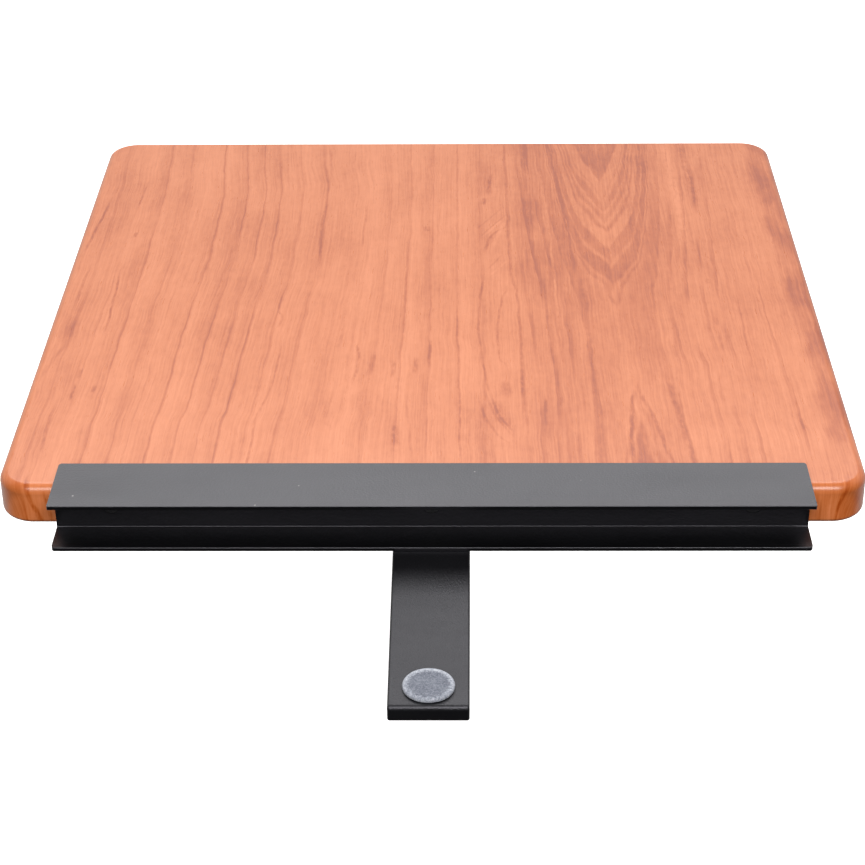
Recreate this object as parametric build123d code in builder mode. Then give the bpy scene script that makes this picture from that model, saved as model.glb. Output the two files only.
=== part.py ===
from build123d import *
import os

# Clip-on extension shelf for a standing desk converter.
#
# Frame: origin at the centre of the web's front face, where the edge of the
# host work surface stops. +Y runs away from the host across the shelf board,
# +X runs along the channel, +Z is up. z = 0 is the mid-plane of the board and
# of the host slot. Millimetres.

# ---------------------------------------------------------------- dimensions
# shelf board
BOARD_W = 381.0            # 15 in along X
BOARD_D = 381.0            # 15 in along Y
BOARD_T = 19.05            # 3/4 in
CORNER_R = 15.875          # plan corners, 5/8 in
TOP_ROUND = 4.2            # roll-over of the top edge
BOTTOM_ROUND = 2.7         # roll-over of the bottom edge
FOIL_T = 0.5               # thermofoil wrapped over top and edges
LINER_T = 0.3              # balancing sheet on the underside
LINER_INSET = 3.4          # the foil is folded under by this much

# H-section edge channel
CH_LEN = 328.4
WALL = 1.9                 # web and lips
SLOT_H = 19.2              # clear height of both slots
LIP = 16.85                # reach of each lip from the web
LIP_CORNER_R = 2.0         # plan corners of the lips
FRONT_CORNER_R = 0.8       # plan corners of the upper lip's front edge
ROOT_R = 0.5               # extrusion fillet between web and lip
NOSE_R = 0.3               # broken edges of the extrusion

# wood screws through the web into the board edge
SCREW_X = 139.7            # outer screws, either side of the middle one
SCREW_Z = 1.0
SCREW_HEAD_R = 3.7
SCREW_SHANK_R = 1.9
SCREW_LEN = 25.0
SCREW_SINK = 0.12          # heads sit just under the web's face

# support arm under the host work surface
ARM_T = 7.0
ARM_TIP_Y = -125.8
ARM_TAIL_Y = 152.0
ARM_W_TIP = 32.2
ARM_W_LIP = 33.4           # width where it leaves the channel
ARM_W_LIP_Y = -19.8
ARM_EDGE_R = 0.95          # broken long edges
ARM_NOSE_R = 2.0           # roll-over at the tip's top edge
ARM_CORNER_R = 1.05        # the other three edges across the arm

# arm fixings (M6)
FIX_Y = (70.0, 134.0)
FIX_HOLE_R = 3.4
SHANK_R = 3.0
BUTTON_R = 5.25
BUTTON_H = 3.3
WASHER_R = 8.0
WASHER_T = 1.2
SPACER_R = 10.0
INSERT_R = 4.75
INSERT_LEN = 12.0
INSERT_FLANGE_R = 6.0
INSERT_FLANGE_T = 1.0
FIT_GAP = 0.05             # radial clearance of shanks and bores

# bumper on the arm
BUMPER_R = 10.45
BUMPER_H = 1.95
BUMPER_Y = -112.9
BUMPER_ROUND = 1.3
ADHESIVE_R = 9.6
ADHESIVE_T = 0.15

# ------------------------------------------------------------ derived levels
Z_TOP = BOARD_T / 2
Z_BOT = -BOARD_T / 2
BOARD_Y0 = WALL                       # front edge of the board sits on the web
BOARD_YC = BOARD_Y0 + BOARD_D / 2
SLOT_Z = SLOT_H / 2
LIP_Z = SLOT_Z + WALL                 # outer faces of the lips
ARM_Z1 = -LIP_Z                       # top of the arm, against the lower lips
ARM_Z0 = ARM_Z1 - ARM_T
SPACER_T = Z_BOT - ARM_Z1
SCREW_XS = (-SCREW_X, 0.0, SCREW_X)
WEB_MID = WALL / 2

os.makedirs("parts", exist_ok=True)


def arm_half_width(y):
    """Half width of the tapered arm at a station along Y."""
    slope = (ARM_W_LIP - ARM_W_TIP) / (ARM_W_LIP_Y - ARM_TIP_Y)
    return (ARM_W_TIP + slope * (y - ARM_TIP_Y)) / 2


# ------------------------------------------------- board envelope and core
# The outer envelope is the finished board. The core is the same form, inset
# by the foil and the liner, and the foil is what lies between them.
with BuildPart(mode=Mode.PRIVATE) as envelope:
    with BuildSketch(Plane.XY.offset(Z_BOT)):
        with Locations((0, BOARD_YC)):
            RectangleRounded(BOARD_W, BOARD_D, CORNER_R)
    extrude(amount=BOARD_T)
    fillet(envelope.faces().sort_by(Axis.Z)[-1].edges(), TOP_ROUND)
    fillet(envelope.faces().sort_by(Axis.Z)[0].edges(), BOTTOM_ROUND)

with BuildPart() as board_core:
    with BuildSketch(Plane.XY.offset(Z_BOT + LINER_T)):
        with Locations((0, BOARD_YC)):
            RectangleRounded(BOARD_W - 2 * FOIL_T, BOARD_D - 2 * FOIL_T, CORNER_R - FOIL_T)
    extrude(amount=BOARD_T - FOIL_T - LINER_T)
    fillet(board_core.faces().sort_by(Axis.Z)[-1].edges(), TOP_ROUND - FOIL_T)
    fillet(board_core.faces().sort_by(Axis.Z)[0].edges(), BOTTOM_ROUND - FOIL_T)

core_blank = board_core.part

# balancing sheet on the underside, pierced for the two threaded inserts
with BuildPart() as underside_liner:
    with BuildSketch(Plane.XY.offset(Z_BOT)):
        with Locations((0, BOARD_YC)):
            RectangleRounded(BOARD_W - 2 * LINER_INSET, BOARD_D - 2 * LINER_INSET,
                             CORNER_R - LINER_INSET)
        with Locations(*[(0, y) for y in FIX_Y]):
            Circle(INSERT_FLANGE_R + FIT_GAP, mode=Mode.SUBTRACT)
    extrude(amount=LINER_T)
underside_liner.part.label = "underside_liner"

# the liner's own outline, unpierced, is what the foil has to clear
with BuildPart(mode=Mode.PRIVATE) as liner_blank:
    with BuildSketch(Plane.XY.offset(Z_BOT)):
        with Locations((0, BOARD_YC)):
            RectangleRounded(BOARD_W - 2 * LINER_INSET, BOARD_D - 2 * LINER_INSET,
                             CORNER_R - LINER_INSET)
    extrude(amount=LINER_T)

# thermofoil: one skin over the top face, the four edges and the rolled corners
with BuildPart() as top_foil:
    add(envelope.part)
    add(core_blank, mode=Mode.SUBTRACT)
    add(liner_blank.part, mode=Mode.SUBTRACT)
    # pilot holes of the three web screws
    with BuildSketch(Plane.XZ.offset(-BOARD_Y0)):
        with Locations(*[(x, SCREW_Z) for x in SCREW_XS]):
            Circle(SCREW_SHANK_R + FIT_GAP)
    extrude(amount=-3 * FOIL_T, mode=Mode.SUBTRACT)
top_foil.part.label = "top_foil"

# the core gets its screw pilots in the front edge and the insert bores below
PILOT_END = SCREW_LEN + 1.5
with BuildPart() as board_core:
    add(core_blank)
    with BuildSketch(Plane.XZ.offset(-BOARD_Y0)):
        with Locations(*[(x, SCREW_Z) for x in SCREW_XS]):
            Circle(SCREW_SHANK_R + FIT_GAP)
    extrude(amount=-PILOT_END, mode=Mode.SUBTRACT)
    with BuildSketch(Plane.XY.offset(Z_BOT)):
        with Locations(*[(0, y) for y in FIX_Y]):
            Circle(INSERT_R + FIT_GAP)
    extrude(amount=INSERT_LEN + 0.8, mode=Mode.SUBTRACT)
    with BuildSketch(Plane.XY.offset(Z_BOT)):
        with Locations(*[(0, y) for y in FIX_Y]):
            Circle(INSERT_FLANGE_R + FIT_GAP)
    extrude(amount=INSERT_FLANGE_T + FIT_GAP, mode=Mode.SUBTRACT)
board_core.part.label = "board_core"

# --------------------------------------------------------------- edge channel
# plan outline of the lips: their corners are rounded so that they can't score
# the board or the host surface, the upper lip's front corners only slightly
with BuildPart(mode=Mode.PRIVATE) as lip_outline:
    with BuildSketch(Plane.XY) as upper_plan:
        with Locations((0, WEB_MID)):
            Rectangle(CH_LEN, 2 * LIP + WALL)
        fillet(upper_plan.vertices().sort_by(Axis.Y)[-2:], LIP_CORNER_R)
        fillet(upper_plan.vertices().sort_by(Axis.Y)[:2], FRONT_CORNER_R)
    extrude(amount=LIP_Z + 1)
    with BuildSketch(Plane.XY) as lower_plan:
        with Locations((0, WEB_MID)):
            RectangleRounded(CH_LEN, 2 * LIP + WALL, LIP_CORNER_R)
    extrude(amount=-LIP_Z - 1)

with BuildPart() as edge_channel:
    with BuildSketch(Plane.YZ) as h_section:
        with Locations((WEB_MID, 0)):
            Rectangle(WALL, SLOT_H)
        with Locations((WEB_MID, SLOT_Z + WALL / 2), (WEB_MID, -SLOT_Z - WALL / 2)):
            Rectangle(2 * LIP + WALL, WALL)
        roots = h_section.vertices().filter_by(
            lambda v: abs(abs(v.Y) - SLOT_Z) < 1e-6 and abs(v.X - WEB_MID) < WALL)
        fillet(roots, ROOT_R)
        noses = h_section.vertices().filter_by(lambda v: abs(v.X - WEB_MID) > LIP)
        fillet(noses, NOSE_R)
    extrude(amount=CH_LEN / 2, both=True)
    add(lip_outline.part, mode=Mode.INTERSECT)
    # countersunk holes for the wood screws, opened from the host side
    for x in SCREW_XS:
        with Locations(Plane(origin=(x, 0, SCREW_Z), x_dir=(1, 0, 0), z_dir=(0, -1, 0))):
            CounterSinkHole(radius=SCREW_SHANK_R + 0.25,
                            counter_sink_radius=SCREW_HEAD_R + 0.15,
                            depth=3 * WALL, counter_sink_angle=90)
edge_channel.part.label = "edge_channel"

# --------------------------------------------------- wood screws in the web
# revolved profile: flat countersunk head, shank and gimlet point, then a
# cross recess cut in the head
with BuildPart() as one_screw:
    with BuildSketch(Plane.YZ):
        with BuildLine():
            y0 = SCREW_SINK
            y_cone = y0 + (SCREW_HEAD_R - SCREW_SHANK_R)
            Polyline((y0, 0), (y0, SCREW_HEAD_R), (y_cone, SCREW_SHANK_R),
                     (SCREW_LEN - 4.0, SCREW_SHANK_R), (SCREW_LEN, 0), close=True)
        make_face()
    revolve(axis=Axis.Y)
    with BuildSketch(Plane.XZ.offset(-SCREW_SINK)):
        Rectangle(4.2, 0.9)
        Rectangle(0.9, 4.2)
    extrude(amount=-1.3, mode=Mode.SUBTRACT)

with BuildPart() as channel_screws:
    with Locations(*[(x, 0, SCREW_Z) for x in SCREW_XS]):
        add(one_screw.part)
channel_screws.part.label = "channel_screws"

# ---------------------------------------------------------------- support arm
# side profile with a rolled nose, trimmed to the tapered plan, then the long
# edges are broken all the way round each flank
with BuildPart() as support_arm:
    with BuildSketch(Plane.YZ) as arm_side:
        with BuildLine():
            Polyline((ARM_TIP_Y, ARM_Z0), (ARM_TAIL_Y, ARM_Z0), (ARM_TAIL_Y, ARM_Z1),
                     (ARM_TIP_Y, ARM_Z1), close=True)
        make_face()
        nose = arm_side.vertices().filter_by(
            lambda v: v.X < 0 and abs(v.Y - ARM_Z1) < 1e-6)
        fillet(nose, ARM_NOSE_R)
        corners = arm_side.vertices().filter_by(
            lambda v: v.X > 0 or abs(v.Y - ARM_Z0) < 1e-6)
        fillet(corners, ARM_CORNER_R)
    extrude(amount=ARM_W_LIP, both=True)
    with BuildSketch(Plane.XY.offset(ARM_Z0 - 1)):
        with BuildLine():
            wt = arm_half_width(ARM_TIP_Y)
            wr = arm_half_width(ARM_TAIL_Y)
            Polyline((-wt, ARM_TIP_Y), (wt, ARM_TIP_Y), (wr, ARM_TAIL_Y),
                     (-wr, ARM_TAIL_Y), close=True)
        make_face()
    extrude(amount=ARM_T + 2, mode=Mode.INTERSECT)
    flanks = support_arm.faces().filter_by(lambda f: abs(f.normal_at().X) > 0.9)
    fillet(flanks.edges(), ARM_EDGE_R)
    # clearance holes for the two machine screws
    with BuildSketch(Plane.XY.offset(ARM_Z0 - 1)):
        with Locations(*[(0, y) for y in FIX_Y]):
            Circle(FIX_HOLE_R)
    extrude(amount=ARM_T + 2, mode=Mode.SUBTRACT)
support_arm.part.label = "support_arm"

# ------------------------------------------------------- arm fixings (two off)
# spacer rings take up the step between the lower lip and the board
with BuildPart() as arm_spacers:
    with BuildSketch(Plane.XY.offset(ARM_Z1)):
        with Locations(*[(0, y) for y in FIX_Y]):
            Circle(SPACER_R)
            Circle(FIX_HOLE_R, mode=Mode.SUBTRACT)
    extrude(amount=SPACER_T)
arm_spacers.part.label = "arm_spacers"

# flanged threaded inserts set into the underside of the board
with BuildPart() as threaded_inserts:
    with BuildSketch(Plane.XY.offset(Z_BOT)):
        with Locations(*[(0, y) for y in FIX_Y]):
            Circle(INSERT_FLANGE_R)
    extrude(amount=INSERT_FLANGE_T)
    with BuildSketch(Plane.XY.offset(Z_BOT)):
        with Locations(*[(0, y) for y in FIX_Y]):
            Circle(INSERT_R)
    extrude(amount=INSERT_LEN)
    with BuildSketch(Plane.XY.offset(Z_BOT)):
        with Locations(*[(0, y) for y in FIX_Y]):
            Circle(SHANK_R + FIT_GAP)
    extrude(amount=INSERT_LEN, mode=Mode.SUBTRACT)
threaded_inserts.part.label = "threaded_inserts"

# plain washers under the screw heads
with BuildPart() as arm_washers:
    with BuildSketch(Plane.XY.offset(ARM_Z0 - WASHER_T)):
        with Locations(*[(0, y) for y in FIX_Y]):
            Circle(WASHER_R)
            Circle(SHANK_R + 0.2, mode=Mode.SUBTRACT)
    extrude(amount=WASHER_T)
arm_washers.part.label = "arm_washers"

# button-head machine screws with a hexagon socket
HEAD_Z1 = ARM_Z0 - WASHER_T
SHANK_END = Z_BOT + INSERT_LEN - 1.0
with BuildPart() as one_bolt:
    with BuildSketch(Plane.XZ):
        with BuildLine():
            crown = Line((0, HEAD_Z1 - BUTTON_H), (2.4, HEAD_Z1 - BUTTON_H))
            dome = ThreePointArc((2.4, HEAD_Z1 - BUTTON_H),
                                 (BUTTON_R - 0.95, HEAD_Z1 - BUTTON_H * 0.62),
                                 (BUTTON_R, HEAD_Z1 - 0.4))
            Polyline((BUTTON_R, HEAD_Z1 - 0.4), (BUTTON_R, HEAD_Z1), (SHANK_R, HEAD_Z1),
                     (SHANK_R, SHANK_END - 0.6), (SHANK_R - 0.6, SHANK_END),
                     (0, SHANK_END), (0, HEAD_Z1 - BUTTON_H))
        make_face()
    revolve(axis=Axis.Z)
    with BuildSketch(Plane.XY.offset(HEAD_Z1 - BUTTON_H)):
        RegularPolygon(2.0, 6, major_radius=False)
    extrude(amount=2.0, mode=Mode.SUBTRACT)

with BuildPart() as arm_screws:
    with Locations(*[(0, y, 0) for y in FIX_Y]):
        add(one_bolt.part)
arm_screws.part.label = "arm_screws"

# -------------------------------------------------------------------- bumper
with BuildPart() as bumper_adhesive:
    with BuildSketch(Plane.XY.offset(ARM_Z1)):
        with Locations((0, BUMPER_Y)):
            Circle(ADHESIVE_R)
    extrude(amount=ADHESIVE_T)
bumper_adhesive.part.label = "bumper_adhesive"

with BuildPart() as bumper_pad:
    with BuildSketch(Plane.XY.offset(ARM_Z1 + ADHESIVE_T)):
        with Locations((0, BUMPER_Y)):
            Circle(BUMPER_R)
    extrude(amount=BUMPER_H)
    fillet(bumper_pad.faces().sort_by(Axis.Z)[-1].edges(), BUMPER_ROUND)
    fillet(bumper_pad.faces().sort_by(Axis.Z)[0].edges(), 0.25)
bumper_pad.part.label = "bumper_pad"

# -------------------------------------------------------------------- export
export_step(board_core.part, "parts/board_core.step")
export_step(top_foil.part, "parts/top_foil.step")
export_step(underside_liner.part, "parts/underside_liner.step")
export_step(edge_channel.part, "parts/edge_channel.step")
export_step(channel_screws.part, "parts/channel_screws.step")
export_step(support_arm.part, "parts/support_arm.step")
export_step(arm_spacers.part, "parts/arm_spacers.step")
export_step(threaded_inserts.part, "parts/threaded_inserts.step")
export_step(arm_washers.part, "parts/arm_washers.step")
export_step(arm_screws.part, "parts/arm_screws.step")
export_step(bumper_adhesive.part, "parts/bumper_adhesive.step")
export_step(bumper_pad.part, "parts/bumper_pad.step")
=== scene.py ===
import math

import bpy
from mathutils import Matrix, Vector


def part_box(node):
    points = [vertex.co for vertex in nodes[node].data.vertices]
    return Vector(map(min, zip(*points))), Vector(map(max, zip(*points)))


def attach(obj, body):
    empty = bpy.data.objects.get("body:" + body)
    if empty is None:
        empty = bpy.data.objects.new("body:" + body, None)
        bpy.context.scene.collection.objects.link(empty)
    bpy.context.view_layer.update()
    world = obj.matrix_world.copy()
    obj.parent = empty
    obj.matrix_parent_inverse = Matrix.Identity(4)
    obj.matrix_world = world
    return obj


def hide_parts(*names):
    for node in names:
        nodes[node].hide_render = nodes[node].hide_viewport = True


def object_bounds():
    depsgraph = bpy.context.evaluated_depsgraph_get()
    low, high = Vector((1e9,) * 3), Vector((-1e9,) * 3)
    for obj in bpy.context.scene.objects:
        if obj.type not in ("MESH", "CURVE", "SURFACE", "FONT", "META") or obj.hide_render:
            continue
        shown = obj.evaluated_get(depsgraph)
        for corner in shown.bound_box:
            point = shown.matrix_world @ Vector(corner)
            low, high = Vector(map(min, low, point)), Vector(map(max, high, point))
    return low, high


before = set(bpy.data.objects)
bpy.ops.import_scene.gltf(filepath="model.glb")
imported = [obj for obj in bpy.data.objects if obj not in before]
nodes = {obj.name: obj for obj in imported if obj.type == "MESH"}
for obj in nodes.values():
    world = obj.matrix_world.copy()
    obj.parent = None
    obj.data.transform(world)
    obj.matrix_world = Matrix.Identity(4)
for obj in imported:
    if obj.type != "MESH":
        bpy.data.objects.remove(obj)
cad_lo, cad_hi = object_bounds()

# ------------------------------------------------------------------ sizes, in metres
# All places come from the CAD boxes; these few are the design's own radii.
foil_lo, foil_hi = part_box("top_foil")
core_lo, core_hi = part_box("board_core")
liner_lo, liner_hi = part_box("underside_liner")
ch_lo, ch_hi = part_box("edge_channel")
arm_lo, arm_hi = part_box("support_arm")
pad_lo, pad_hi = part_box("bumper_pad")

CORNER_R = 0.015875
TOP_R = 0.0042
BOTTOM_R = 0.0027
Z_TOP = foil_hi.z
Z_BOT = foil_lo.z
BOARD_C = Vector(((foil_lo.x + foil_hi.x) / 2, (foil_lo.y + foil_hi.y) / 2))
HALF_X = (foil_hi.x - foil_lo.x) / 2
HALF_Y = (foil_hi.y - foil_lo.y) / 2

scene = bpy.context.scene


# ------------------------------------------------------------------ node building
class Tree:
    """Small helper that wires a material's nodes. Plain numbers are set on sockets."""

    def __init__(self, name):
        self.mat = bpy.data.materials.new(name)
        self.mat.use_nodes = True
        self.nt = self.mat.node_tree
        self.nt.nodes.clear()
        self.out = self.nt.nodes.new("ShaderNodeOutputMaterial")

    def node(self, kind, **props):
        n = self.nt.nodes.new(kind)
        for k, v in props.items():
            setattr(n, k, v)
        return n

    def put(self, socket, value):
        if isinstance(value, bpy.types.NodeSocket):
            self.nt.links.new(value, socket)
        elif value is not None:
            socket.default_value = value

    def math(self, op, a, b=None, c=None, clamp=False):
        n = self.node("ShaderNodeMath", operation=op, use_clamp=clamp)
        self.put(n.inputs[0], a)
        if b is not None:
            self.put(n.inputs[1], b)
        if c is not None:
            self.put(n.inputs[2], c)
        return n.outputs[0]

    def add(self, a, b):
        return self.math("ADD", a, b)

    def sub(self, a, b):
        return self.math("SUBTRACT", a, b)

    def mul(self, a, b):
        return self.math("MULTIPLY", a, b)

    def span(self, v, a, b, lo=0.0, hi=1.0, kind="SMOOTHSTEP"):
        n = self.node("ShaderNodeMapRange", interpolation_type=kind, clamp=True)
        self.put(n.inputs["Value"], v)
        self.put(n.inputs["From Min"], a)
        self.put(n.inputs["From Max"], b)
        self.put(n.inputs["To Min"], lo)
        self.put(n.inputs["To Max"], hi)
        return n.outputs["Result"]

    def vec(self, x=0.0, y=0.0, z=0.0):
        n = self.node("ShaderNodeCombineXYZ")
        for s, v in zip(n.inputs, (x, y, z)):
            self.put(s, v)
        return n.outputs[0]

    def split(self, v):
        n = self.node("ShaderNodeSeparateXYZ")
        self.put(n.inputs[0], v)
        return n.outputs[0], n.outputs[1], n.outputs[2]

    def noise(self, vec, scale=1.0, detail=2.0, rough=0.5, distort=0.0, dims="3D"):
        n = self.node("ShaderNodeTexNoise", noise_dimensions=dims)
        self.put(n.inputs["Vector"], vec)
        n.inputs["Scale"].default_value = scale
        n.inputs["Detail"].default_value = detail
        n.inputs["Roughness"].default_value = rough
        n.inputs["Distortion"].default_value = distort
        return n.outputs[0]

    def white(self, w):
        n = self.node("ShaderNodeTexWhiteNoise", noise_dimensions="1D")
        self.put(n.inputs["W"], w)
        return n.outputs["Value"]

    def voronoi(self, vec, scale=1.0, feature="F1", randomness=1.0, out="Distance"):
        n = self.node("ShaderNodeTexVoronoi", feature=feature)
        self.put(n.inputs["Vector"], vec)
        n.inputs["Scale"].default_value = scale
        n.inputs["Randomness"].default_value = randomness
        return n.outputs[out]

    def ramp(self, fac, stops, kind="LINEAR"):
        n = self.node("ShaderNodeValToRGB")
        cr = n.color_ramp
        cr.interpolation = kind
        while len(cr.elements) > 1:
            cr.elements.remove(cr.elements[-1])
        cr.elements[0].position = stops[0][0]
        cr.elements[0].color = (*stops[0][1], 1.0)
        for p, col in stops[1:]:
            e = cr.elements.new(p)
            e.color = (*col, 1.0)
        self.put(n.inputs[0], fac)
        return n.outputs[0]

    def curve(self, value, points):
        """A float curve through (x, y) points, both 0 to 1."""
        n = self.node("ShaderNodeFloatCurve")
        cv = n.mapping.curves[0]
        while len(cv.points) > 2:
            cv.points.remove(cv.points[1])
        cv.points[0].location = points[0]
        cv.points[-1].location = points[-1]
        for p in points[1:-1]:
            cv.points.new(*p)
        n.mapping.update()
        self.put(n.inputs["Value"], value)
        n.inputs["Factor"].default_value = 1.0
        return n.outputs[0]

    def mix(self, fac, a, b, blend="MIX"):
        n = self.node("ShaderNodeMix", data_type="RGBA", blend_type=blend, clamp_factor=True)
        self.put(n.inputs[0], fac)
        self.put(n.inputs[6], a if isinstance(a, bpy.types.NodeSocket) else (*a, 1.0))
        self.put(n.inputs[7], b if isinstance(b, bpy.types.NodeSocket) else (*b, 1.0))
        return n.outputs[2]

    def bump(self, height, strength=0.3, distance=0.0001, normal=None):
        n = self.node("ShaderNodeBump")
        n.inputs["Strength"].default_value = strength
        n.inputs["Distance"].default_value = distance
        self.put(n.inputs["Height"], height)
        if normal is not None:
            self.put(n.inputs["Normal"], normal)
        return n.outputs[0]

    def principled(self, **sockets):
        n = self.node("ShaderNodeBsdfPrincipled")
        for k, v in sockets.items():
            s = n.inputs[k.replace("_", " ")]
            if isinstance(v, tuple) and len(v) == 3 and s.type == "RGBA":
                v = (*v, 1.0)
            self.put(s, v)
        self.nt.links.new(n.outputs[0], self.out.inputs["Surface"])
        return n

    def coords(self, scale=1000.0):
        """Object coordinates in millimetres of the row frame."""
        tc = self.node("ShaderNodeTexCoord")
        n = self.node("ShaderNodeVectorMath", operation="SCALE")
        self.nt.links.new(tc.outputs["Object"], n.inputs[0])
        n.inputs["Scale"].default_value = scale
        return n.outputs[0]


# ------------------------------------------------------------------ materials
def cherry_foil():
    """Printed cherry foil: a flat-sawn figure laid out on the foil's own sheet.

    The UV map "print" holds the sheet's coordinates in metres, x across the
    board and y away from the channel, and runs on over the rolled edges, so
    the figure wraps the board as the foil does.
    """
    t = Tree("cherry_foil")
    uv = t.node("ShaderNodeUVMap", uv_map="print")
    sc = t.node("ShaderNodeVectorMath", operation="SCALE")
    t.nt.links.new(uv.outputs[0], sc.inputs[0])
    sc.inputs["Scale"].default_value = 1000.0
    u0, v0, _ = t.split(sc.outputs[0])
    v = t.sub(v0, foil_lo.y * 1000.0)

    # the fibres tremble a little as they run
    trem = t.noise(t.vec(t.mul(u0, 1 / 30), t.mul(v, 1 / 24), 8.1), detail=2.0, rough=0.55)
    u = t.math("MULTIPLY_ADD", t.sub(trem, 0.5), 2.6, u0)

    # left of the cathedral the lines lean together, out and then back
    lean = t.curve(t.span(v, -25, 381, kind="LINEAR"),
                   [((q + 25) / 406, (e + 8) / 16) for q, e in
                    [(-25, -6.6), (20, -6.6), (51, -6.0), (69, -4.2), (90, -2.8), (111, -2.4),
                     (138, -1.2), (168, 0.4), (190, 2.2), (214, 3.4), (242, 4.2), (284, 4.6),
                     (312, 4.4), (328, 3.0), (346, 0.8), (381, -1.2)]])
    lean_w = t.mul(t.span(u0, -160, -105, 0.35, 1.0), t.span(u0, 8, -62, 0.0, 1.0))
    lean = t.mul(t.math("MULTIPLY_ADD", lean, 16.0, -8.0), lean_w)
    ul = t.sub(u, lean)

    # ink laid down: 0 pale, 1 dark; starts from the broad bands of the sheet
    bands = t.curve(t.span(u0, -190, 190, kind="LINEAR"),
                    [((q + 190) / 380, e) for q, e in
                     [(-190, 0.42), (-167, 0.30), (-147, 0.17), (-127, 0.09), (-107, 0.28),
                      (-87, 0.17), (-67, 0.26), (-47, 0.12), (-27, 0.03), (-7, 0.10), (13, 0.13),
                      (33, 0.34), (53, 0.92), (73, 0.90), (93, 0.82), (113, 0.84), (130, 0.34),
                      (153, 0.36), (172, 0.30), (190, 0.55)]])
    bands_w = t.span(v, 60, 300, 0.56, 1.0)
    ink = t.mul(t.mul(bands, bands_w), 0.42)

    # sheet-wide mottling and fibre
    cloud = t.noise(t.vec(t.mul(u, 1 / 24), t.mul(v, 1 / 52), 5.5), detail=3.0, rough=0.55)
    ink = t.math("MULTIPLY_ADD", t.sub(cloud, 0.5), 0.80, ink)
    mott = t.noise(t.vec(t.mul(u, 1 / 3.6), t.mul(v, 1 / 7.5), 15.0), detail=3.0, rough=0.62)
    ink = t.math("MULTIPLY_ADD", t.sub(mott, 0.5), 0.46, ink)
    fib1 = t.noise(t.vec(t.mul(ul, 0.85), t.mul(v, 1 / 60), 2.0), detail=2.0, rough=0.6)
    ink = t.math("MULTIPLY_ADD", t.sub(fib1, 0.5), 0.80, ink)
    fib2 = t.noise(t.vec(t.mul(ul, 2.3), t.mul(v, 1 / 17), 6.0), detail=2.0, rough=0.6)
    ink = t.math("MULTIPLY_ADD", t.sub(fib2, 0.5), 0.46, ink)

    # growth lines on the left two thirds, one every 10 to 15 mm; each has its
    # own weight and its own pale or dark band beside it, and fades in and out
    spots = [-190.5, -178, -166, -153, -141, -134, -122.3, -109.5, -99.5, -90.6, -78.5, -65,
             -51, -38.5, -27, -15, -2, 11.5, 24, 38.5, 54]
    n = len(spots) - 1
    phase = t.curve(t.span(ul, spots[0], spots[-1], kind="LINEAR"),
                    [((q - spots[0]) / (spots[-1] - spots[0]), i / n)
                     for i, q in enumerate(spots)])
    phase = t.mul(phase, float(n))
    near = t.math("ROUND", phase)
    gap = t.mul(t.math("ABSOLUTE", t.sub(phase, near)), 12.0)
    weights = [0.2, 0.5, 0.3, 0.65, 0.35, 0.30, 1.0, 0.55, 0.55, 1.0, 0.60, 0.62, 0.15, 0.28,
               0.12, 0.35, 0.12, 0.50, 0.28, 0.20, 0.1]
    wt_line = t.ramp(t.math("MULTIPLY_ADD", near, 1 / (n + 1), 0.5 / (n + 1)),
                     [(i / (n + 1), (w, w, w)) for i, w in enumerate(weights)], "CONSTANT")
    come = t.span(t.noise(t.vec(t.mul(near, 1.37), t.mul(v, 1 / 75), 0.0), detail=1.0),
                  0.32, 0.56, 0.30, 1.0)
    left_side = t.span(u0, 50, 36)
    line = t.mul(t.mul(t.span(gap, 1.35, 0.20), wt_line), t.mul(come, left_side))
    ink = t.math("MULTIPLY_ADD", line, 0.40, ink)
    cell = t.math("FLOOR", phase)
    side = t.mul(t.sub(t.math("FRACT", phase), 0.5), t.sub(t.white(cell), 0.30))
    ink = t.math("MULTIPLY_ADD", t.mul(side, left_side), 0.66, ink)

    # the cathedral: rings of a log whose pith passes under u = 91. Its depth
    # grows toward the channel, peaks, and falls again
    pith = t.span(v, 190, 60, 90.8, 94.6)
    depth = t.curve(t.span(v, -25, 385, kind="LINEAR"),
                    [((q + 25) / 410, (e - 10) / 25) for q, e in
                     [(-25, 29.9), (22, 31.1), (66, 32.2), (88, 32.8), (110, 33.2), (140, 33.5),
                      (165, 33.1), (195, 31.7), (216, 29.7), (239, 27.3), (259, 25.3),
                      (287, 22.5), (324, 18.8), (353, 15.9), (385, 12.6)]])
    depth = t.math("MULTIPLY_ADD", depth, 25.0, 10.0)
    ripple = t.noise(t.vec(t.mul(u0, 1 / 13), t.mul(v, 1 / 24), 1.3), detail=2.0, rough=0.4)
    depth = t.math("MULTIPLY_ADD", t.sub(ripple, 0.5), 1.6, depth)
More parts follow.
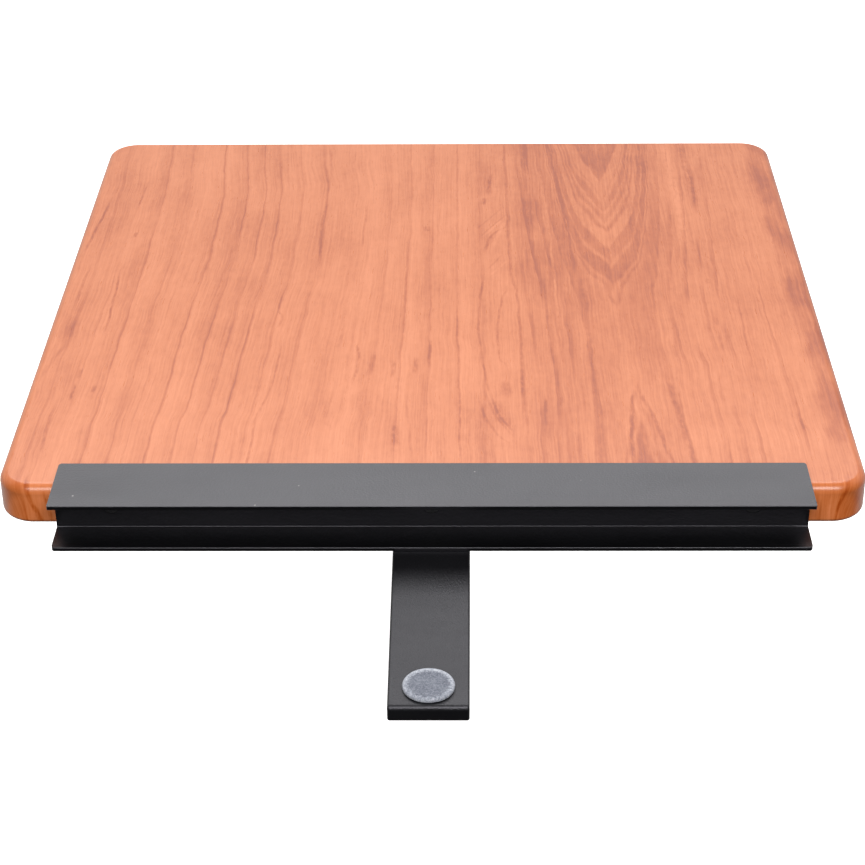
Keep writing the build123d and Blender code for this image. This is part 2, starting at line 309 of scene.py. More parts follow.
    # straight-armed at the tips, hyperbolic further out
    off = t.math("ABSOLUTE", t.sub(u, pith))
    off = t.math("SMOOTH_MAX", off, t.mul(t.math("SQRT", off), 3.65), 1.5)
    r = t.math("SQRT", t.add(t.mul(off, off), t.mul(depth, depth)))
    ring_ink = [(12, 0.35), (14.5, 0.55), (16, 0.85), (18.6, 0.95), (19.2, 0.05), (20.6, 0.10),
                (21.0, 0.45), (21.5, 0.15), (22.3, 0.85), (22.9, 0.80), (23.2, 0.20),
                (24.0, 0.80), (24.7, 0.15), (25.4, 0.85), (26.1, 0.10), (27.3, 0.12),
                (27.8, 0.85), (29.0, 0.75), (29.6, 0.20), (30.2, 0.90), (31.7, 1.00),
                (32.2, 0.25), (32.75, 0.85), (33.1, 0.30), (34.4, 0.60), (36.6, 0.65),
                (37.8, 0.85), (38.4, 0.30), (39.6, 0.45), (40.2, 0.30)]
    rings = t.ramp(t.span(r, 12, 40.2, kind="LINEAR"),
                   [((q - 12) / 28.2, (e, e, e)) for q, e in ring_ink], "EASE")
    in_cath = t.span(r, 41.5, 38.5)
    firm = t.noise(t.vec(t.mul(u, 1 / 11), t.mul(v, 1 / 30), 21.0), detail=2.0)
    firm = t.span(firm, 0.30, 0.62, 0.55, 1.0)
    ink = t.math("MULTIPLY_ADD", t.mul(t.mul(t.sub(rings, 0.50), in_cath), firm), 0.50, ink)
    # outer rings, closer together, run almost straight on both sides of it
    ph2 = t.mul(r, 1 / 3.1)
    k2 = t.math("FLOOR", ph2)
    f2 = t.math("FRACT", ph2)
    w2 = t.math("POWER", t.white(k2), 1.5)
    come2 = t.span(t.noise(t.vec(t.mul(k2, 1.9), t.mul(v, 1 / 60), 4.0), detail=1.0),
                   0.34, 0.62)
    right_side = t.mul(t.span(u0, 38, 50), t.span(r, 38.5, 41.5))
    saw = t.mul(t.span(f2, 0.1, 0.86), t.span(f2, 1.0, 0.93))
    ink = t.math("MULTIPLY_ADD", t.mul(t.mul(saw, w2), t.mul(come2, right_side)), 0.40, ink)

    # single strokes: end points and way-points as (v, u), width, darkness
    ragged = t.noise(t.vec(t.mul(u, 1 / 1.6), t.mul(v, 1 / 5.0), 31.0), detail=2.0)
    strokes = [
        # leaning dashes and a fleck near the left edge
        ([(239, -185.2), (293, -180.8)], 1.5, 1.15), ([(289, -164.1), (321, -163.2)], 1.2, 1.0),
        ([(252, -160.9), (258, -160.6)], 2.6, 0.9), ([(150, -162.0), (181, -162.7),
                                                      (209, -163.2)], 1.3, 1.1),
        ([(176, -181.0), (217, -180.0)], 1.4, 0.8), ([(77, -168.7), (91, -168.5)], 1.5, 1.1),
        ([(98, -168.2), (106, -167.8)], 1.8, 0.8), ([(84, -159.4), (90, -159.2)], 2.0, 0.9),
        ([(30, -174.0), (50, -175.2), (70, -175.2)], 1.6, 0.8),
        ([(136, -180.0), (157, -179.0)], 8.0, 0.55), ([(98, -185.4), (115, -183.0),
                                                       (132, -179.4)], 2.2, 0.55),
        # second growth lines beside the long ones
        ([(-25, -82.5), (34, -81.5), (55, -81.5), (69, -79.5), (83, -76.7), (104, -75.3),
          (134, -74.6)], 1.2, 0.75),
        ([(332, -59.7), (350, -60.7), (374, -63.5)], 1.8, 0.7),
        ([(225, -60.2), (242, -61.4), (259, -62.1), (292, -60.0)], 1.5, 0.85),
        ([(148, -78.0), (161, -76.2), (166, -78.0), (184, -77.0)], 1.4, 0.7),
        ([(242, -39.1), (291, -38.4)], 1.2, 0.6), ([(131, -15.2), (242, -14.9)], 1.2, 0.45),
        # ray fleck above the channel
        ([(95, -37.8), (118, -36.4), (128, -37.8)], 1.6, 1.05),
        ([(101, -30.9), (121, -28.8)], 2.6, 0.75), ([(99, -19.5), (112, -19.1)], 1.8, 0.85),
        ([(103, -9.4), (116, -8.6)], 2.6, 0.85), ([(110, -2.4), (133, -2.0)], 1.7, 1.05),
        ([(128, -46.8), (141, -45.3)], 2.0, 0.55), ([(50, -30.0), (62, -33.0), (76, -34.0),
                                                     (86, -31.6)], 3.0, 0.45),
        ([(52, -46.0), (66, -49.0), (80, -46.5)], 2.6, 0.45), ([(36, -16.0), (52, -17.2)],
                                                              3.0, 0.8),
        ([(96, -41.0), (122, -42.0)], 1.4, 0.4),
        # pin knot
        ([(259, -5.4), (264.5, -5.7)], 3.4, 1.0), ([(252, -5.8), (271, -5.0)], 6.5, 0.30),
        # straight seams of the veneer picture
        ([(-25, 12.6), (74, 12.2), (120, 11.6), (165, 11.2)], 1.3, 0.72),
        ([(60, 41.6), (131, 42.0), (183, 41.3), (214, 38.6), (300, 38.3), (374, 38.0)], 1.7, 0.62),
        ([(20, 15.0), (80, 14.2)], 3.6, 0.30),
        # drawn-out leaf shapes beside the seam
        ([(48, 36.4), (69, 28.8), (97, 24.6), (132, 22.3), (173, 22.5), (201, 24.6)], 1.4, 0.75),
        ([(112, 34.3), (123, 31.0), (146, 31.1), (169, 32.5), (188, 36.4)], 1.3, 0.8),
        ([(79, 34.0), (93, 33.5)], 5.0, 0.6), ([(52, 33.5), (62, 31.5), (73, 30.0)], 6.5, 0.70),
        ([(37, 35.0), (48, 28.0), (76, 21.0)], 1.5, 0.55), ([(44, 36.0), (60, 29.5),
                                                            (82, 24.0)], 1.3, 0.45),
        ([(234, 26.0), (248, 28.0), (256, 31.0), (263, 36.4)], 2.0, 0.75),
        ([(263, 22.5), (285, 33.6)], 1.3, 0.45), ([(253, 24.0), (278, 36.4)], 1.2, 0.45),
        ([(214, 27.4), (228, 33.6)], 1.3, 0.50), ([(240, 29.4), (252, 32.4), (268, 36.0)],
                                                  2.2, -0.55),
        ([(256, 27.0), (272, 34.6)], 1.8, -0.45), ([(205, 27.4), (222, 36.6)], 1.6, -0.35),
        ([(308, 28.2), (331, 29.6)], 2.1, 1.0), ([(293, 25.8), (301, 26.3)], 2.3, 1.0),
        ([(304, 31.0), (332, 33.8)], 2.0, -0.4), ([(80, 41.3), (107, 41.3)], 1.4, 0.7),
        ([(55, 51.8), (77, 52.0)], 1.7, 1.1),
        # right of it, toward and past the cathedral
        ([(340, 49.6), (378, 49.6)], 3.4, 0.75), ([(264, 50.0), (300, 49.4)], 7.0, 0.42),
        ([(120, 56.0), (210, 55.6)], 1.4, 0.50), ([(130, 61.2), (230, 60.6), (330, 57.9)],
                                                  1.3, -0.55),
        ([(214, 71.6), (284, 69.0), (330, 66.5), (376, 64.2)], 2.0, 0.60),
        ([(325, 114.0), (358, 114.6)], 7.5, 0.42), ([(255, 104.4), (292, 104.8)], 4.0, 0.30),
        ([(245, 131.4), (300, 131.8), (376, 130.2)], 4.6, -0.75),
        ([(290, 141.6), (330, 141.0), (378, 140.2)], 4.4, 0.70),
        ([(150, 139.4), (158, 139.2)], 2.6, 0.55), ([(126, 139.6), (143, 139.4)], 2.4, 0.60),
        ([(196, 139.0), (201, 139.2)], 3.0, 0.55), ([(118, 151.6), (176, 151.8)], 1.2, 0.50),
        ([(118, 116.2), (129, 116.0)], 1.6, 0.80), ([(49, 168.3), (58, 168.0)], 2.4, 0.75),
        ([(-25, 118.6), (22, 115.8), (70, 112.2), (96, 110.4)], 3.0, 0.75),
        # the lower cathedral, its tip away from the channel
        ([(-25, 88.6), (20, 89.2), (41, 89.5), (62, 90.6), (72, 92.2), (88, 95.0)], 2.3, 0.85),
        ([(-25, 112.5), (22, 105.8), (48, 102.4), (66, 99.6), (88, 95.4)], 2.1, 0.85),
        ([(-25, 95.0), (56, 94.6)], 8.5, 0.36), ([(-25, 77.0), (60, 76.0), (200, 74.6)], 3.4, 0.40),
        ([(60, 92.4), (96, 95.4)], 1.6, -0.45),
        # darker patches toward the channel
        ([(16, 21.0), (74, 19.5)], 15.0, 0.34), ([(26, -15.5), (56, -18.0)], 7.0, 0.42),
        ([(20, 4.0), (44, 2.0)], 3.0, 0.40), ([(22, -9.0), (70, -12.0)], 1.5, 0.45),
        ([(20, 163.6), (120, 163.2), (201, 163.6)], 1.2, -0.40),
        # where the sheet turns down over the front edge
        ([(-21, -169.6), (-12, -172.2), (-4, -175.4), (8, -176.8)], 2.6, 1.15),
        ([(-21, -165.6), (-9, -167.4), (-1, -168.6)], 1.8, 0.85),
        ([(-22, -178.6), (-8, -180.2)], 1.6, 0.45),
        ([(-22, 175.8), (-8, 178.6), (4, 181.0)], 2.2, 1.05),
        ([(-22, 168.8), (-6, 169.6)], 1.5, 0.55), ([(-22, 172.6), (-5, 173.6)], 1.2, -0.5),
    ]
    # each stroke's place takes in a trace of the sum so far, far too small to
    # move it: this makes the renderer finish one stroke before the next, which
    # keeps the shader within its working memory
    marks = None
    u_in, v_in = u, v
    for pts, width, amount in strokes:
        if marks is not None:
            u_in = t.math("MULTIPLY_ADD", marks, 1e-7, u)
            v_in = t.math("MULTIPLY_ADD", marks, 1e-7, v)
        va, vb = pts[0][0], pts[-1][0]
        lo_u, hi_u = min(q[1] for q in pts), max(q[1] for q in pts)
        if len(pts) == 2:
            k = (pts[1][1] - pts[0][1]) / (vb - va)
            mid = t.math("MULTIPLY_ADD", v_in, k, pts[0][1] - k * va)
        else:
            mid = t.curve(t.span(v_in, va, vb, kind="LINEAR"),
                          [((q - va) / (vb - va), (e - lo_u) / (hi_u - lo_u)) for q, e in pts])
            mid = t.math("MULTIPLY_ADD", mid, hi_u - lo_u, lo_u)
        d = t.math("ABSOLUTE", t.sub(u_in, mid))
        across = t.span(d, width * 0.80, width * 0.12)
        fade = min(14.0, (vb - va) * 0.22)
        along = t.mul(t.span(v_in, va - fade, va + fade), t.span(v_in, vb + fade, vb - fade))
        one = t.mul(across, along)
        marks = t.mul(one, amount) if marks is None else t.math("MULTIPLY_ADD", one, amount,
                                                                  marks)
    marks = t.mul(marks, t.span(ragged, 0.32, 0.60, 0.50, 1.05))
    ink = t.math("MULTIPLY_ADD", marks, 0.50, ink)

    # short pores, and the blotchy dark strip at the right edge
    po = t.voronoi(t.vec(t.mul(u, 1 / 1.3), t.mul(v, 1 / 6.5), 2.0))
    pore = t.span(po, 0.26, 0.08)
    ink = t.math("MULTIPLY_ADD", pore, 0.10, ink)
    blot = t.noise(t.vec(t.mul(u, 1 / 14), t.mul(v, 1 / 34), 40.0), detail=2.0)
    strip = t.mul(t.span(t.math("MULTIPLY_ADD", blot, 6.0, u0), 177.5, 184.0),
                  t.span(v, 30, 52, 0.35, 1.0))
    ink = t.math("MULTIPLY_ADD", strip, t.span(blot, 0.30, 0.70, 0.18, 0.52), ink)

    # the heated sheet stretches over the front and back edges and prints paler there; the colour of
    # those faces is also lifted by up to a quarter as painted light
    stretch_and_painted_light = t.math("MAXIMUM", t.span(v, 1.0, -4.0), t.span(v, 380.0, 385.0))
    ink = t.math("MULTIPLY_ADD", stretch_and_painted_light, -0.06, ink)
    col = t.ramp(t.add(ink, 0.24),
                 [(0.0, (0.535, 0.166, 0.060)), (0.35, (0.470, 0.131, 0.038)),
                  (0.70, (0.378, 0.083, 0.014)), (1.0, (0.285, 0.048, 0.005))])
    # painted light: the turned-down front and back faces are brightened by up to 24 %
    sc = t.node("ShaderNodeVectorMath", operation="SCALE")
    t.put(sc.inputs[0], col)
    t.put(sc.inputs["Scale"], t.math("MULTIPLY_ADD", stretch_and_painted_light, 0.24, 1.0))
    col = sc.outputs[0]

    # satin film: slight orange peel, pores pressed in along the fibre
    peel = t.noise(t.coords(), scale=0.35, detail=2.0)
    height = t.math("MULTIPLY_ADD", peel, 0.35, t.mul(fib2, 0.30))
    height = t.sub(height, t.mul(pore, 0.25))
    rough = t.span(t.add(fib2, t.mul(pore, 0.3)), 0.2, 1.1, 0.26, 0.38, kind="LINEAR")
    t.principled(Base_Color=col, Roughness=rough, IOR=1.5, Specular_IOR_Level=0.46,
                 Normal=t.bump(height, 0.22, 0.00006))
    return t.mat


def fibreboard():
    t = Tree("fibreboard")
    p = t.coords()
    n1 = t.noise(p, scale=2.4, detail=5.0, rough=0.7)
    n2 = t.noise(p, scale=0.3, detail=2.0)
    col = t.ramp(t.add(t.mul(n1, 0.7), t.mul(n2, 0.3)),
                 [(0.3, (0.26, 0.165, 0.085)), (0.7, (0.47, 0.33, 0.19))])
    t.principled(Base_Color=col, Roughness=0.86, IOR=1.45, Normal=t.bump(n1, 0.5, 0.0002))
    return t.mat


def liner_sheet():
    """Balancing sheet: plain brown melamine with a faint fibre and scuffs."""
    t = Tree("liner_sheet")
    x, y, z = t.split(t.coords())
    n1 = t.noise(t.vec(t.mul(x, 0.9), t.mul(y, 0.05), 1.0), detail=3.0, rough=0.6)
    n2 = t.noise(t.vec(t.mul(x, 0.02), t.mul(y, 0.02), 4.0), detail=3.0)
    scuff = t.span(t.noise(t.vec(t.mul(x, 0.05), t.mul(y, 0.6), 2.0), detail=4.0, rough=0.7),
                   0.62, 0.75)
    tone = t.add(t.mul(n1, 0.5), t.mul(n2, 0.5))
    col = t.ramp(tone, [(0.3, (0.235, 0.088, 0.036)), (0.7, (0.345, 0.140, 0.062))])
    col = t.mix(t.mul(scuff, 0.25), col, (0.46, 0.27, 0.17))
    rough = t.span(t.add(n1, t.mul(scuff, 0.4)), 0.2, 1.2, 0.50, 0.72, kind="LINEAR")
    t.principled(Base_Color=col, Roughness=rough, IOR=1.48, Normal=t.bump(n1, 0.15, 0.00008))
    return t.mat


def black_coat(name, grain, lumps, rough_lo, rough_hi, base, specks=0.0, spec=0.5, peel=0.3):
    """Satin black coat: fine texture, cloudy sheen, rubbed edges and a little dust."""
    t = Tree(name)
    p = t.coords()
    fine = t.noise(p, scale=grain, detail=3.0, rough=0.65)
    lump = t.noise(p, scale=lumps, detail=2.0, rough=0.5)
    x, y, z = t.split(p)
    cloud = t.noise(t.vec(t.mul(x, 0.018), t.mul(y, 0.05), t.mul(z, 0.05)), detail=3.0)
    tone = t.add(t.mul(fine, 0.55), t.mul(cloud, 0.45))
    col = t.ramp(tone, [(0.30, tuple(c * 0.72 for c in base)),
                        (0.70, tuple(c * 1.45 for c in base))])
    if specks:
        # dust caught in the coat: one small speck in some cells of a loose grid
        sp = t.voronoi(p, scale=0.085)
        pick = t.noise(t.vec(t.mul(x, 0.06), t.mul(y, 0.11), 7.0), detail=1.0)
        dot = t.mul(t.span(sp, 0.050, 0.018), t.span(pick, 0.44, 0.58))
        dot = t.mul(dot, t.span(z, ch_hi.z * 1000 - 1.0, ch_hi.z * 1000 - 0.4))
        col = t.mix(t.mul(dot, specks), col, (0.42, 0.40, 0.36))
    # coat worn thin on sharp edges: the bevelled normal leaves the true one there
    geo = t.node("ShaderNodeNewGeometry")
    bev = t.node("ShaderNodeBevel", samples=4)
    bev.inputs["Radius"].default_value = 0.0006
    dot_n = t.node("ShaderNodeVectorMath", operation="DOT_PRODUCT")
    t.nt.links.new(geo.outputs["True Normal"], dot_n.inputs[0])
    t.nt.links.new(bev.outputs[0], dot_n.inputs[1])
    worn = t.mul(t.span(dot_n.outputs["Value"], 0.93, 0.70), t.span(lump, 0.50, 0.72))
    col = t.mix(t.mul(worn, 0.14), col, (0.16, 0.16, 0.165))
    rough = t.span(t.add(t.mul(fine, 0.5), t.mul(cloud, 0.5)), 0.25, 0.75, rough_lo, rough_hi,
                   kind="LINEAR")
    small = t.bump(fine, 0.30, 0.00007)
    t.principled(Base_Color=col, Roughness=rough, IOR=1.5, Specular_IOR_Level=spec,
                 Specular_Tint=(0.935, 0.915, 1.0), Normal=t.bump(lump, 1.0, peel * 1e-4, small))
    return t.mat


def plated(name, base, rough_lo=0.28, rough_hi=0.45):
    t = Tree(name)
    p = t.coords()
    x, y, z = t.split(p)
    brush = t.noise(t.vec(t.mul(x, 0.6), t.mul(y, 9.0), t.mul(z, 9.0)), detail=3.0)
    cloud = t.noise(p, scale=0.5, detail=3.0)
    col = t.ramp(t.add(t.mul(brush, 0.4), t.mul(cloud, 0.6)),
                 [(0.3, tuple(c * 0.75 for c in base)), (0.7, base)])
    rough = t.span(cloud, 0.3, 0.7, rough_lo, rough_hi, kind="LINEAR")
    t.principled(Base_Color=col, Metallic=1.0, Roughness=rough,
                 Normal=t.bump(brush, 0.2, 0.00003))
    return t.mat


def black_oxide():
    t = Tree("black_oxide")
    p = t.coords()
    n = t.noise(p, scale=3.0, detail=3.0)
    col = t.ramp(n, [(0.3, (0.045, 0.045, 0.048)), (0.7, (0.120, 0.118, 0.120))])
    rough = t.span(n, 0.3, 0.7, 0.36, 0.52, kind="LINEAR")
    t.principled(Base_Color=col, Metallic=0.5, Roughness=rough, Normal=t.bump(n, 0.2, 0.00003))
    return t.mat


def nylon():
    t = Tree("black_nylon")
    p = t.coords()
    n = t.noise(p, scale=1.6, detail=3.0)
    col = t.ramp(n, [(0.3, (0.016, 0.016, 0.017)), (0.7, (0.032, 0.032, 0.034))])
    rough = t.span(n, 0.3, 0.7, 0.45, 0.60, kind="LINEAR")
    t.principled(Base_Color=col, Roughness=rough, IOR=1.53, Normal=t.bump(n, 0.2, 0.00005))
    return t.mat


def frosted_bumper():
    """Clear urethane over black: a frosted face, and a rim painted lighter as a painted highlight of
    gathered light.
    """
    t = Tree("frosted_bumper")
    p = t.coords()
    x, y, z = t.split(p)
    cx, cy = (pad_lo.x + pad_hi.x) * 500, (pad_lo.y + pad_hi.y) * 500
    dx, dy = t.sub(x, cx), t.sub(y, cy)
    r = t.math("SQRT", t.add(t.mul(dx, dx), t.mul(dy, dy)))
    frost = t.noise(p, scale=0.95, detail=4.0, rough=0.72)
    grit = t.noise(p, scale=3.0, detail=2.0, rough=0.6)
    soft = t.noise(p, scale=0.22, detail=1.0)
    # painted highlight: the base colour turns lighter toward the rim, most at its far side
    painted_rim_highlight_r = t.add(t.add(r, t.mul(t.sub(frost, 0.5), 3.0)), t.mul(dy, 0.10))
    rim = t.span(painted_rim_highlight_r, 7.4, 10.4)
    speck = t.span(t.add(t.mul(frost, 0.55), t.mul(grit, 0.45)), 0.42, 0.60)
    centre = t.mix(speck, (0.050, 0.056, 0.078), (0.150, 0.162, 0.200))
    centre = t.mix(t.mul(t.span(soft, 0.4, 0.7), 0.25), centre, (0.20, 0.215, 0.25))
    # the pale rim colour is a painted highlight, not the urethane's own colour
    edge = t.mix(speck, (0.22, 0.235, 0.28), (0.46, 0.475, 0.51))
    col = t.mix(rim, centre, edge)
    rough = t.span(rim, 0.0, 1.0, 0.52, 0.44, kind="LINEAR")
    t.principled(Base_Color=col, Roughness=rough, IOR=1.5, Specular_IOR_Level=0.40,
                 Normal=t.bump(t.add(t.mul(frost, 0.6), t.mul(grit, 0.4)), 0.6, 0.00010))
    return t.mat


def adhesive_film():
    t = Tree("adhesive_film")
    n = t.noise(t.coords(), scale=1.2, detail=2.0)
    col = t.ramp(n, [(0.3, (0.34, 0.35, 0.37)), (0.7, (0.52, 0.53, 0.55))])
    t.principled(Base_Color=col, Roughness=0.35, IOR=1.47, Normal=t.bump(n, 0.2, 0.00003))
    return t.mat


# ------------------------------------------------------------------ mesh building
def outline(half_x, half_y, r, n_corner=14, n_side=10):
    """Perimeter of a rounded rectangle as (foot, direction) pairs: the point at
    corner radius rho is foot + direction * rho."""
    out = []
    feet = [(half_x - r, half_y - r), (-half_x + r, half_y - r),
            (-half_x + r, -half_y + r), (half_x - r, -half_y + r)]
    for q, foot in enumerate(feet):
        for i in range(n_corner + 1):
            a = math.pi / 2 * (q + i / n_corner)
            out.append((Vector(foot), Vector((math.cos(a), math.sin(a)))))
        nxt = Vector(feet[(q + 1) % 4])
        d = out[-1][1].copy()
        for i in range(1, n_side):
            out.append((Vector(foot).lerp(nxt, i / n_side), d))
    return out


def ring_outline(n=96):
    return [(Vector((0.0, 0.0)), Vector((math.cos(2 * math.pi * i / n),
                                         math.sin(2 * math.pi * i / n)))) for i in range(n)]


def lathe(name, per, profile, centre, print_uv=None, cap_start=True, cap_end=True):
    """Closed mesh swept along an outline.

    profile is a list of runs; each run is a list of (rho, z, n_out, n_z, s):
    corner radius, height, the normal there and the sheet length from the first
    point. Runs share end points, and a break between runs is a sharp edge.
    """
    verts, faces, normals, uvs = [], [], [], []
    rows = []            # vertex indices per profile point
    cx, cy = centre

    def row(rho, z):
        base = len(verts)
        for foot, d in per:
            q = foot + d * rho
            verts.append((cx + q.x, cy + q.y, z))
        return list(range(base, base + len(per)))

    n = len(per)
    last = None
    first_row = None
    for run in profile:
        for j, (rho, z, no, nz, s) in enumerate(run):
            if j == 0 and last is not None:
                here = last[0]
            else:
                here = row(rho, z)
            if first_row is None:
                first_row = (here, run[0])
            if j > 0:
                a, b = prev, here
                pa, pb = run[j - 1], run[j]
                for i in range(n):
                    k = (i + 1) % n
                    faces.append((a[i], b[i], b[k], a[k]))
                    for idx, pt in ((i, pa), (i, pb), (k, pb), (k, pa)):
                        d = per[idx][1]
                        normals.append(Vector((d.x * pt[2], d.y * pt[2], pt[3])).normalized())
                        if print_uv is not None:
                            f2, dd = per[idx]
                            q = f2 + dd * (print_uv + pt[4])
                            uvs.append((cx + q.x, cy + q.y))
            prev = here
        last = (prev, run[-1])
    for want, (idx_row, pt), flip in ((cap_start, first_row, False), (cap_end, last, True)):
        if not want:
            continue
        ids = list(idx_row)
        order = list(range(n))
        if flip:
            order.reverse()
        faces.append([ids[i] for i in order])
        for i in order:
            normals.append(Vector((0, 0, 1.0 if pt[3] >= 0 else -1.0)))
            if print_uv is not None:
                f2, dd = per[i]
                q = f2 + dd * (print_uv + pt[4])
                uvs.append((cx + q.x, cy + q.y))
    me = bpy.data.meshes.new(name)
    me.from_pydata([tuple(v) for v in verts], [], faces)
    if print_uv is not None:
        layer = me.uv_layers.new(name="print")
        for i, c in enumerate(uvs):
            layer.data[i].uv = c
    me.polygons.foreach_set("use_smooth", [True] * len(me.polygons))
    me.normals_split_custom_set([tuple(v) for v in normals])
    me.update()
    ob = bpy.data.objects.new(name, me)
    scene.collection.objects.link(ob)
    return ob


def arc(rho_c, z_c, r, a0, a1, steps, s0=0.0, flip=1.0):
    """Profile points round an arc; angle 0 points outward and 90 up."""
    pts = []
    for i in range(steps + 1):
        a = math.radians(a0 + (a1 - a0) * i / steps)
        pts.append((rho_c + r * math.cos(a), z_c + r * math.sin(a),
                    flip * math.cos(a), flip * math.sin(a),
                    s0 + abs(math.radians((a1 - a0) * i / steps)) * r))
    return pts


# ------------------------------------------------------------------ the foil skin
foil_t = core_lo.x - foil_lo.x
fold = liner_lo.x - foil_lo.x
z_in_top = core_hi.z
z_in_bot = core_lo.z
R = CORNER_R
outer = []
# top tangent, roll-over, edge, lower roll, folded lip under the board
outer += arc(R - TOP_R, Z_TOP - TOP_R, TOP_R, 90, 0, 14)
s_edge = outer[-1][4]
wall_h = (Z_TOP - TOP_R) - (Z_BOT + BOTTOM_R)
low = arc(R - BOTTOM_R, Z_BOT + BOTTOM_R, BOTTOM_R, 0, -90, 10, s0=s_edge + wall_h)
mid = [(R, Z_TOP - TOP_R - wall_h * i / 4, 1.0, 0.0, s_edge + wall_h * i / 4)
       for i in range(1, 4)]
outer += mid + low
s_low = outer[-1][4]
lip = [(R - BOTTOM_R, Z_BOT, 0.0, -1.0, s_low),
       (R - fold, Z_BOT, 0.0, -1.0, s_low + fold - BOTTOM_R)]
step = [(R - fold, Z_BOT, -1.0, 0.0, s_low + fold), (R - fold, z_in_bot, -1.0, 0.0, s_low + fold)]
ri = R - foil_t
under = [(R - fold, z_in_bot, 0.0, 1.0, s_low),
         (ri - (BOTTOM_R - foil_t), z_in_bot, 0.0, 1.0, s_low)]
in_low = arc(ri - (BOTTOM_R - foil_t), z_in_bot + BOTTOM_R - foil_t, BOTTOM_R - foil_t,
             -90, 0, 8, flip=-1.0)
in_top = arc(ri - (TOP_R - foil_t), z_in_top - (TOP_R - foil_t), TOP_R - foil_t,
             0, 90, 10, flip=-1.0)
inner = in_low + in_top
skin = lathe("foil_skin", outline(HALF_X, HALF_Y, R, 16, 12),
             [outer, lip, step, under, inner], BOARD_C, print_uv=R - TOP_R)
skin.data.materials.append(cherry_foil())
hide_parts("top_foil")
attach(skin, "root")

# ------------------------------------------------------------------ the bumper
pad_r = (pad_hi.x - pad_lo.x) / 2
pad_c = ((pad_lo.x + pad_hi.x) / 2, (pad_lo.y + pad_hi.y) / 2)
sh = 0.0013                       # rounded shoulder
dish = 0.00012                    # the face is dished very slightly
pad_prof = [[(0.0002, pad_hi.z - dish, 0.0, 1.0, 0.0),
             (pad_r * 0.45, pad_hi.z - dish * 0.9, 0.01, 1.0, 0.0),
             (pad_r * 0.70, pad_hi.z - dish * 0.35, -0.03, 1.0, 0.0)]
            + arc(pad_r - sh, pad_hi.z - sh, sh, 90, 0, 12)
            + [(pad_r, pad_lo.z + 0.00025, 1.0, 0.0, 0.0)]
            + arc(pad_r - 0.00025, pad_lo.z + 0.00025, 0.00025, 0, -90, 4)[1:]]
pad = lathe("bumper_dome", ring_outline(96), pad_prof, pad_c)
pad.data.materials.append(frosted_bumper())
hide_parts("bumper_pad")
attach(pad, "root")


# ------------------------------------------------------------------ CAD nodes keep their shape
def dress(node, mat):
    me = nodes[node].data
    if not me.materials:
        me.materials.append(mat)
    for i in range(len(me.materials)):
        me.materials[i] = mat


dress("board_core", fibreboard())
dress("underside_liner", liner_sheet())
dress("edge_channel", black_coat("channel_coat", 2.2, 0.95, 0.25, 0.44,
                                 (0.0016, 0.0016, 0.0019), specks=0.6, spec=0.62, peel=0.9))
dress("support_arm", black_coat("arm_coat", 2.6, 1.15, 0.36, 0.52, (0.0034, 0.0034, 0.0040), spec=0.42,
                               peel=1.5))
screw_mat = black_oxide()
dress("channel_screws", screw_mat)
dress("arm_screws", screw_mat)
dress("arm_spacers", nylon())
dress("threaded_inserts", plated("insert_plate", (0.72, 0.66, 0.50)))
dress("arm_washers", plated("washer_plate", (0.62, 0.62, 0.63)))
dress("bumper_adhesive", adhesive_film())


# ------------------------------------------------------------------ stage
def stage_floor():
    z = cad_lo.z - 0.20
    me = bpy.data.meshes.new("floor")
    s = 40.0
    n = 12
    vs = [(-s + 2 * s * i / n, -s + 2 * s * j / n, z) for j in range(n + 1) for i in range(n + 1)]
    fs = [(j * (n + 1) + i, j * (n + 1) + i + 1, (j + 1) * (n + 1) + i + 1, (j + 1) * (n + 1) + i)
          for j in range(n) for i in range(n)]
    me.from_pydata(vs, [], fs)
    ob = bpy.data.objects.new("floor", me)
    scene.collection.objects.link(ob)
    t = Tree("floor_paint")
    bs = t.node("ShaderNodeBsdfDiffuse")
    bs.inputs["Color"].default_value = (0.86, 0.86, 0.86, 1)
    em = t.node("ShaderNodeEmission")
    em.inputs["Color"].default_value = (1, 1, 1, 1)
    em.inputs["Strength"].default_value = 0.80
    ad = t.node("ShaderNodeAddShader")
    t.nt.links.new(bs.outputs[0], ad.inputs[0])
    t.nt.links.new(em.outputs[0], ad.inputs[1])
    # from below the sheet is clear, so that the underside can be looked at
    geo = t.node("ShaderNodeNewGeometry")
    clear = t.node("ShaderNodeBsdfTransparent")
    sides = t.node("ShaderNodeMixShader")
    t.nt.links.new(geo.outputs["Backfacing"], sides.inputs[0])
    t.nt.links.new(ad.outputs[0], sides.inputs[1])
    t.nt.links.new(clear.outputs[0], sides.inputs[2])
    t.nt.links.new(sides.outputs[0], t.out.inputs["Surface"])
    me.materials.append(t.mat)
    # the paper throws no light up on to the object
    ob.visible_diffuse = False
    ob.visible_glossy = False
    return ob


stage_floor()


def softbox(name, loc, target, size_x, size_y, power):
    ld = bpy.data.lights.new(name, "AREA")
    ld.shape = "RECTANGLE"
    ld.size, ld.size_y = size_x, size_y
    ld.energy = power
    ob = bpy.data.objects.new(name, ld)
    ob.location = loc
    ob.rotation_euler = (Vector(target) - Vector(loc)).to_track_quat("-Z", "Y").to_euler()
    scene.collection.objects.link(ob)
    return ob


softbox("key", (0.15, -1.66, 1.98), (0.0, 0.12, 0.0), 2.2, 1.22, 97.0)
softbox("panel", (0.0, 1.78, 1.98), (0.0, 0.10, 0.0), 2.0, 1.30, 34.0)

world = bpy.data.worlds.new("studio")
scene.world = world
world.use_nodes = True
wt = world.node_tree
wt.nodes.clear()
w_out = wt.nodes.new("ShaderNodeOutputWorld")
w_bg = wt.nodes.new("ShaderNodeBackground")
w_tc = wt.nodes.new("ShaderNodeTexCoord")
w_sp = wt.nodes.new("ShaderNodeSeparateXYZ")
wt.links.new(w_tc.outputs["Generated"], w_sp.inputs[0])


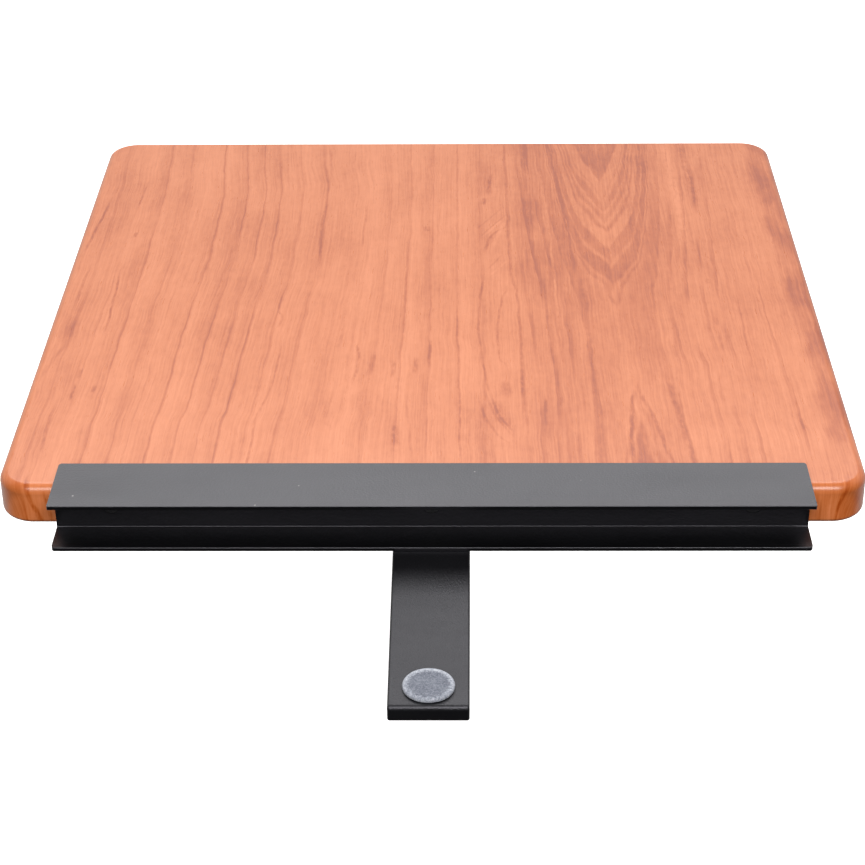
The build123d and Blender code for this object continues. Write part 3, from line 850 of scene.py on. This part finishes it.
def w_ramp(stops):
    n = wt.nodes.new("ShaderNodeValToRGB")
    cr = n.color_ramp
    cr.interpolation = "B_SPLINE"
    while len(cr.elements) > 1:
        cr.elements.remove(cr.elements[-1])
    cr.elements[0].position = stops[0][0]
    cr.elements[0].color = (stops[0][1],) * 3 + (1,)
    for p, g in stops[1:]:
        e = cr.elements.new(p)
        e.color = (g,) * 3 + (1,)
    wt.links.new(w_sp.outputs[2], n.inputs[0])
    return n.outputs[0]


# a pale backdrop beyond the board, brightest a third of the way up, under a
# dimmer ceiling; the camera's side is an even grey room
far = w_ramp([(0.0, 0.34), (0.20, 0.40), (0.46, 0.52), (0.62, 0.46), (0.80, 0.22), (1.0, 0.10)])
near = w_ramp([(0.0, 0.01), (0.3, 0.03), (0.6, 0.08), (1.0, 0.10)])
w_side = wt.nodes.new("ShaderNodeMapRange")
w_side.interpolation_type = "SMOOTHSTEP"
wt.links.new(w_sp.outputs[1], w_side.inputs["Value"])
w_side.inputs["From Min"].default_value = -0.15
w_side.inputs["From Max"].default_value = 0.35
w_mix = wt.nodes.new("ShaderNodeMix")
w_mix.data_type = "RGBA"
wt.links.new(w_side.outputs["Result"], w_mix.inputs[0])
wt.links.new(near, w_mix.inputs[6])
wt.links.new(far, w_mix.inputs[7])
wt.links.new(w_mix.outputs[2], w_bg.inputs["Color"])
w_bg.inputs["Strength"].default_value = 2.4
wt.links.new(w_bg.outputs[0], w_out.inputs["Surface"])

scene.view_settings.view_transform = "Standard"
scene.view_settings.look = "None"
scene.view_settings.exposure = 0.0
scene.view_settings.gamma = 1.0

# ------------------------------------------------------------------ camera
pitch, yaw, roll = 0.532812, -0.014928, -0.008768
fw = Vector((math.sin(yaw) * math.cos(pitch), math.cos(yaw) * math.cos(pitch), -math.sin(pitch)))
rt = fw.cross(Vector((0, 0, 1))).normalized()
up = rt.cross(fw)
r2 = rt * math.cos(roll) + up * math.sin(roll)
u2 = up * math.cos(roll) - rt * math.sin(roll)
cam_data = bpy.data.cameras.new("camera")
cam_data.lens = 90.5458
cam_data.sensor_width = 36.0
cam_data.clip_start = 0.01
cam_data.clip_end = 50.0
cam = bpy.data.objects.new("camera", cam_data)
scene.collection.objects.link(cam)
rot = Matrix((r2, u2, -fw)).transposed()
cam.matrix_world = Matrix.Translation(Vector((0.0126302, -0.7982402, 0.5088084))) @ rot.to_4x4()
scene.camera = cam
